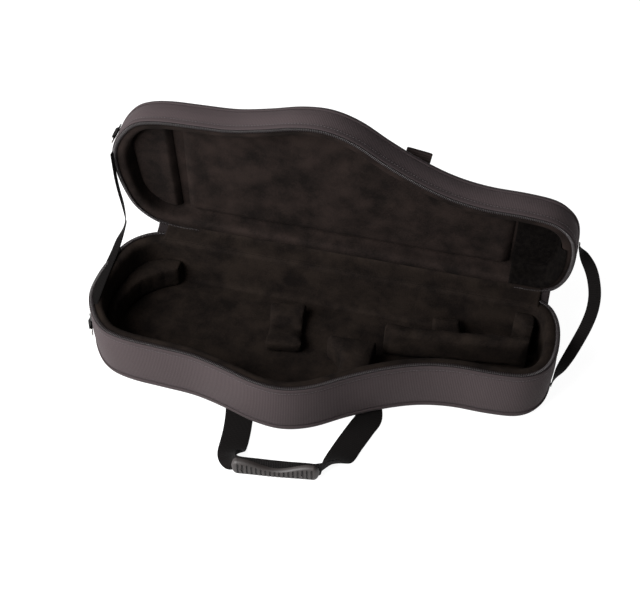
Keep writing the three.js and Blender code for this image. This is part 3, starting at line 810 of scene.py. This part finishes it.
def lid_seam(name, centre, along, across, length, width):
    """A row of stitches round a rectangle on the lid, as where a strap's end is sewn down."""
    along, across = (np.asarray(v, float) / np.linalg.norm(v) for v in (along, across))
    up = np.cross(along, across)
    half_l, half_w = length / 2, width / 2
    corners = np.array([(-half_l, -half_w), (half_l, -half_w), (half_l, half_w),
                        (-half_l, half_w)])
    count = int(4 * (half_l + half_w) / STITCH_PITCH)
    flat = even(corners, count, closed=True)
    direction = unit_rows(np.roll(flat, -1, axis=0) - np.roll(flat, 1, axis=0))
    centres = centre + flat[:, :1] * along + flat[:, 1:] * across
    first = direction[:, :1] * along + direction[:, 1:] * across
    frames = np.stack([first, np.cross(up, first), np.tile(up, (count, 1))], axis=1)
    stitches = beads(name, lid_place(centres), lid_direction(frames), STITCH_SIZE, around=6,
                     along=4)
    keep(stitches, "lid", "webbing", BLACK_THREAD)


# %% [markdown]
# The wide end's stay is thin webbing sewn to the lid near its ring. It hangs down beside the
# lid, turns forwards at hinge height and lies on the base's lip. The narrow end's strap bows
# outwards between two sewn ends. Both are drawn as they lie with the lid open.

# %% The two stays
STAY_THICKNESS, END_THICKNESS, END_WIDTH = 1.5, 1.6, 18.5
STAY_ROUTE = [(-340, -190, 94.6), (-344, -160, 95.6), (-348, -128, 96), (-351, -100, 96.2),
              (-353, -72, 97.6), (-355.5, -45, 100.8), (-358, -14, 104), (-360, -4, 112),
              (-360.5, -5, 140), (-360.5, -11, 172), (-359.5, -17, 207), (-356.5, -23.5, 258)]
STAY_ACROSS = [(1, -0.3, 0), (1, -0.25, 0), (1, -0.15, 0), (1, 0, 0.05), (1, 0.05, 0.15),
               (0.9, 0.1, 0.3), (0.5, 0.1, 0.8), (0.3, -0.7, 0.4), (0.1, -1, 0), (0.05, -1, 0),
               (0, -1, 0.1), (0, -1, 0.1)]
STAY_WIDTHS = [13, 13, 13, 13, 13, 12, 10, 9, 9, 9, 9, 9]
stay = ribbon("wide_end_stay", STAY_ROUTE, STAY_ACROSS, STAY_WIDTHS, STAY_THICKNESS, count=110)
keep(stay, None, "webbing", WEBBING, "lid_stay", "stay_base_patch", "stay_lid_patch")
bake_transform(stay)

LEAN = math.atan2(100, 180)
END_ROUTE = [(362.4, 196), (364, 188), (374, 176), (385, 161), (393, 144), (399, 122), (400, 98),
             (396, 73), (389, 48), (381, 23), (373, 1), (366, -18), (362.6, -30)]
END_TWIST = np.radians([90, 82, 40, 10, 0, 0, 0, 0, 0, 8, 30, 70, 88])


def leaning(x, up):
    """A point in the plane that leans back between the strap's two sewn ends."""
    return (x, -80 + up * math.sin(LEAN), 34 + up * math.cos(LEAN))


end_line = np.array([leaning(x, up) for x, up in END_ROUTE])
end_along = np.gradient(end_line, axis=0)
end_normal = np.array((0, math.cos(LEAN), -math.sin(LEAN)))
end_side = unit_rows(np.cross(end_along, end_normal))
end_across = end_side * np.cos(END_TWIST)[:, None] + end_normal * np.sin(END_TWIST)[:, None]
end_strap = ribbon("narrow_end_strap", end_line, end_across, END_WIDTH, END_THICKNESS, count=110)
keep(end_strap, None, "webbing", WEBBING, "end_strap", "end_strap_base_patch",
     "end_strap_lid_patch")
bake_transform(end_strap)
print("stays:", stay.name, end_strap.name)

# %% [markdown]
# ## The carry handle
# One length of webbing leaves a sewn end under the base, lies on the floor, folds up on edge,
# passes through the grip and goes back.

# %% Carry webbing and its anchors
WEBBING_THICKNESS = 2.2
CARRY_ROUTE = [(-90, -252, 1.4), (-85, -270, 1.4), (-80, -295, 1.4), (-77, -318, 1.6),
               (-75, -338, 4), (-71, -352, 10), (-65, -361, 14), (-54, -364, 15),
               (-25, -361, 15.2), (10, -356.5, 15.2), (40, -351.5, 15.2), (56, -348, 15.2),
               (65, -341, 15), (73, -331, 8), (80, -311, 3), (88, -280, 1.5), (98, -247, 1.4),
               (104, -226, 1.4), (99, -203, 1.4)]
CARRY_ACROSS = [(0.93, -0.36, 0), (0.95, -0.3, 0), (0.99, -0.15, 0), (1, 0.02, 0),
                (0.98, 0.1, 0.14), (0.88, 0.1, 0.45), (0.5, 0.1, 0.86), (0, 0.05, 1),
                (0, 0.06, 1), (0, 0.06, 1), (0, 0.06, 1), (0.1, 0, 1), (0.55, 0.2, 0.8),
                (0.86, 0.4, 0.32), (0.92, 0.38, 0.05), (0.92, 0.4, 0), (0.89, 0.45, 0),
                (0.87, 0.49, 0), (0.87, 0.5, 0)]
CARRY_WIDTHS = [42, 42, 42, 42, 42, 38, 32, 29, 29, 29, 29, 30, 35, 41, 42, 41, 41, 41, 41]
carry = ribbon("carry_webbing", CARRY_ROUTE, CARRY_ACROSS, CARRY_WIDTHS, WEBBING_THICKNESS,
               count=220, on_floor=True)
keep(carry, None, "webbing", WEBBING, "carry_strap", "handle_anchor_left",
     "handle_anchor_right")
swing = JOINTS["carry_handle_swing"]
pivot, axis = Vector(swing["pos_m"]), Vector(swing["axis"]).normalized()
forward = axis.cross(Vector((0, 0, 1)))
forward = forward if forward.y < 0 else -forward
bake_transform(carry)
print("carry webbing:", len(carry.data.vertices), "points")

# %% [markdown]
# The grip is soft rubber moulded round the webbing. Its front wall dips in the middle and is cut
# by a row of upright slots, 6.6 mm apart, that let it bend with the hand. Two small bosses
# stand on it.

# %% The ribbed grip
GRIP_CENTRE = np.array((-2.5, -359.4, 0))
GRIP_TURN = math.radians(8.6)
GRIP_HALF = 63
RIB_PITCH = 6.6


GRIP_HALF_THICKNESS = 7.4
GRIP_FOOT = 0.35
WALL_LOW, WALL_EXTRA = 14.5, 13
SLOT_DEPTH = 2.6
BOSS_SIZE = np.array((3.2, 2.6, 3.2)) * MM


def make_grip(rows=420, cols=64):
    """Rows run along the grip. The section is a squared circle as thick as the grip and as high
    as a curve that dips in the middle; the ends close by a quarter circle. Slots push the front
    inwards where a cosine along the grip is near its peak and the height is between two lips."""
    s = np.linspace(-1, 1, rows)[:, None]
    turn = np.linspace(0, 2 * math.pi, cols, endpoint=False)[None, :]
    x = GRIP_HALF * s
    wall = WALL_LOW + WALL_EXTRA * np.sin(math.pi / 2 * np.clip(np.abs(s) / 0.82, 0, 1)) ** 2
    closing = np.clip((GRIP_HALF - np.abs(x)) / 9, 0, 1)
    ends = np.sqrt(np.clip(1 - (1 - closing) ** 2, 0.02, 1))
    y = GRIP_HALF_THICKNESS * ends * power(np.cos(turn), 0.62)
    height = GRIP_FOOT + wall / 2 + wall / 2 * ends * power(np.sin(turn), 0.62)
    level = (height - GRIP_FOOT) / wall
    slot = np.clip((np.cos(2 * math.pi * x / RIB_PITCH) - 0.25) / 0.35, 0, 1)
    lips = np.clip((level - 0.06) / 0.08, 0, 1) * np.clip((0.88 - level) / 0.08, 0, 1)
    inner = np.clip((GRIP_HALF - 7 - np.abs(x)) / 2, 0, 1)
    front = np.clip(-np.cos(turn) / 0.35, 0, 1)
    y = y + SLOT_DEPTH * slot * lips * inner * front
    c, r = math.cos(GRIP_TURN), math.sin(GRIP_TURN)
    grid = np.stack([x * c - y * r, x * r + y * c, np.broadcast_to(height, y.shape)], axis=2)
    return surface("ribbed_grip", base_place(grid + GRIP_CENTRE), wrap=(False, True),
                   caps=("first row", "last row"))


keep(make_grip(), "carry_handle", "grip_rubber", RUBBER, "carry_grip")
boss_places = GRIP_CENTRE + np.array([(-47, -15.5, 12), (40, -2.5, 11)])
bosses = beads("grip_rivets", base_place(boss_places), np.tile(np.eye(3), (2, 1, 1)), BOSS_SIZE,
               squareness=1.0, around=12, along=7)
keep(bosses, "carry_handle", "grip_rubber", RUBBER)
print("grip:", int(2 * (GRIP_HALF - 7) / RIB_PITCH), "slots")

# %% [markdown]
# ## The lid's handle
# Two sewn ends rise from the lid's outside near its front edge and fold back over themselves;
# the loop between them lies against the lid. The ends stay with the lid and the loop swings.

# %% Lid webbing
FOLD = np.array([(-86, -240), (110, -206)], float)
FOLD_TURN = math.atan2(*(FOLD[1] - FOLD[0])[::-1])
FOLD_ACROSS = (math.cos(FOLD_TURN), math.sin(FOLD_TURN), 0)
FOLD_BACK = np.array((-math.sin(FOLD_TURN), math.cos(FOLD_TURN)))
LID_END_WIDTH, LID_LOOP_WIDTH = 39, 38


def beside_fold(fold, back, height):
    """A point at a distance back from the fold line, at a height over the lid's outside."""
    return (*(fold + back * FOLD_BACK), LID_HEIGHT + height)


for index, side in enumerate(("left", "right")):
    root = [beside_fold(FOLD[index], back, up)
            for back, up in ((34, 1.7), (24, 1.7), (14, 2.6), (6, 6.5), (1, 10.5), (-0.6, 13.2))]
    end = ribbon(f"lid_handle_end_{side}", root, [FOLD_ACROSS] * len(root), LID_END_WIDTH,
                 WEBBING_THICKNESS, place=lid_place, count=36)
    keep(end, "lid", "webbing", WEBBING_GREY, f"lid_handle_anchor_{side}")
    lid_seam(f"lid_handle_seam_{side}", np.array(beside_fold(FOLD[index], 24, 3.0)),
             (*FOLD_BACK, 0), FOLD_ACROSS, 15, 32)

left_leg = [beside_fold(FOLD[0], back, up)
            for back, up in ((-0.4, 13.4), (2, 14.6), (30, 14.6), (60, 14.8), (84, 15.5))]
right_leg = [beside_fold(FOLD[1], back, up)
             for back, up in ((46, 15.5), (30, 14.8), (16, 14.6), (2, 14.6), (-0.4, 13.4))]
middle = [(-70, -150, 67), (-40, -148, 67), (8, -148, 67), (50, -148, 67), (74, -151, 67)]
loop_across = ([FOLD_ACROSS] * 4 + [(0.9, 0.1, -0.4), (0.5, 0, -0.9)] + [(0, 0, -1)] * 3
               + [(-0.1, 0.2, -1), (0.6, 0.1, -0.8), (0.95, 0.15, -0.2)] + [FOLD_ACROSS] * 3)
loop = ribbon("lid_handle_loop", left_leg + middle + right_leg, loop_across, LID_LOOP_WIDTH,
              WEBBING_THICKNESS, place=lid_place, count=200)
keep(loop, "lid_handle", "webbing", WEBBING_GREY, "lid_strap")
print("lid handle: two ends and a loop")

# %% [markdown]
# ## Rings, tabs and sliders
# A D-ring is a round nickel wire bent into a bow with a straight bar, held by a short tab of
# webbing folded round the bar. The zip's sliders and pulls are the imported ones, in nickel.

# %% D-rings and their tabs
WIRE_RADIUS, BAR_DEPTH, BOW_RADIUS, BAR_HALF = 1.6, -3.85, 12.3, 10.5
RING_POINTS = 96
TAB_WIDTH, TAB_THICKNESS = 18, 1.0


def wire(name, path, plane_normal, radius, place):
    """A round wire along a closed flat path: its section is a circle in the plane of the path's
    own sideways direction and the plane's normal."""
    along = unit_rows(np.roll(path, -1, axis=0) - np.roll(path, 1, axis=0))
    normal = np.asarray(plane_normal, float)
    side = np.cross(along, normal)
    turn = np.linspace(0, 2 * math.pi, 14, endpoint=False)
    grid = (path[:, None, :] + radius * np.cos(turn)[None, :, None] * side[:, None, :]
            + radius * np.sin(turn)[None, :, None] * normal)
    return surface(name, place(grid), wrap=(True, True))


def ring_and_tab(half, origin, wall_turn, place, tip_over):
    """The ring is drawn hanging on a wall that faces -X: a bar across Y at the origin with a bow
    below it. It is then tipped over for the lid, and turned to its wall."""
    c, s = math.cos(wall_turn), math.sin(wall_turn)

    def set_on_wall(points):
        x, y, z = np.moveaxis(np.asarray(points, float), -1, 0)
        if tip_over:
            y, z = -z, y
        turned = np.stack([x * c - y * s, x * s + y * c, z], axis=-1)
        return place(turned + origin)

    bow_turn = np.linspace(math.pi, 2 * math.pi, 24)
    bow = np.column_stack([BOW_RADIUS * np.cos(bow_turn), -6 + BOW_RADIUS * np.sin(bow_turn)])
    flat = np.vstack([(-BOW_RADIUS, -1), (-BAR_HALF, 0), (BAR_HALF, 0), (BOW_RADIUS, -1),
                      bow[::-1]])
    flat = softened(even(flat, RING_POINTS, closed=True), 1)
    path = np.column_stack([np.full(RING_POINTS, BAR_DEPTH), flat])
    ring = wire(f"{half}_d_ring", path, (1, 0, 0), WIRE_RADIUS, set_on_wall)
    keep(ring, f"{half}_ring", "nickel", NICKEL, f"{half}_ring")
    route = [(-1.0, 0, 16), (-1.0, 0, 8), (-1.1, 0, 2), (-1.9, 0, -1.6), (-3.85, 0, -2.7),
             (-5.9, 0, -1.4), (-6.2, 0, 1.2), (-4.4, 0, 4.5), (-2.6, 0, 8), (-2.3, 0, 16)]
    tab = ribbon(f"{half}_ring_webbing", route, [(0, 1, 0)] * len(route), TAB_WIDTH,
                 TAB_THICKNESS, place=set_on_wall, count=60)
    keep(tab, half, "webbing", WEBBING, f"{half}_ring_tab")


ring_and_tab("base", (-345.9, -193, 52), math.radians(29), base_place, False)
ring_and_tab("lid", (-351.4, -183, 20), math.radians(25), lid_place, True)
for name in ("zip_slider_left", "zip_slider_right", "zip_pull_left", "zip_pull_right"):
    finishes = frame["nodes"][name].data.materials
    finishes.clear()
    finishes.append(NICKEL)
print("rings, tabs and sliders")

# %% [markdown]
# ## The hinge
# A strip of dark woven cloth spans the two rims outside, and a strip of plush hides it inside.
# Both are sheets, drawn as they lie with the lid open.

# %% Gusset and hinge lining
def strip(name, section, left, right, inset, facing, count=170):
    """A section in Y and Z carried along X. Each section point also says how far it follows the
    rim where that curves away from the hinge line: by the base's share and by the lid's. A slow
    ripple stands for the loose cloth."""
    line = spline(np.asarray(section, float), 18)
    x = np.linspace(left, right, count)
    curve = np.minimum(span(x, inset)[1] - span(np.array([0.0]), inset)[1], 0)[:, None]
    ripple = 0.35 * np.sin(x / 9.0) * np.sin(x / 31.0)
    loose = np.sin(np.linspace(0, math.pi, 18))
    c, s = math.cos(OPEN_ANGLE), math.sin(OPEN_ANGLE)
    y = line[None, :, 0] + curve * (line[None, :, 2] + line[None, :, 3] * c)
    z = line[None, :, 1] - curve * line[None, :, 3] * s + ripple[:, None] * loose[None, :]
    grid = np.stack([np.broadcast_to(x[:, None], y.shape), y, z], axis=2)
    return surface(name, base_place(grid), wrap=(False, False), facing=facing)


GUSSET = [(0.9, 90, 1, 0), (1.6, 93.6, 1, 0), (3.5, 95.6, 0.8, 0), (7, 96.6, 0.2, 0.5),
          (10.2, 97.2, 0, 1), (13.6, 98.1, 0, 1)]
LINING = [(-17.5, 95.2, 1, 0), (-10, 96.6, 1, 0), (-3, 98, 0.9, 0), (3, 99.2, 0.5, 0.2),
          (8, 101, 0, 0.8), (10.8, 104.5, 0, 1), (11.6, 111, 0, 1)]
gusset = strip("hinge_gusset", GUSSET, -306, 336, 0, (0, 0.2, -1))
lining = strip("hinge_plush", LINING, -290, 322, 6, (0, -1, 0.6))
for sheet, wide, finish, slot, node in ((gusset, 0.0168, ZIP_TAPE, "nylon", "hinge_spine"),
                                        (lining, 0.0372, PLUSH_BASE, "plush", "hinge_lining")):
    thicken(sheet, 0.8)
    keep(sheet, None, slot, finish, node)
    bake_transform(sheet)
print("hinge: gusset and lining")
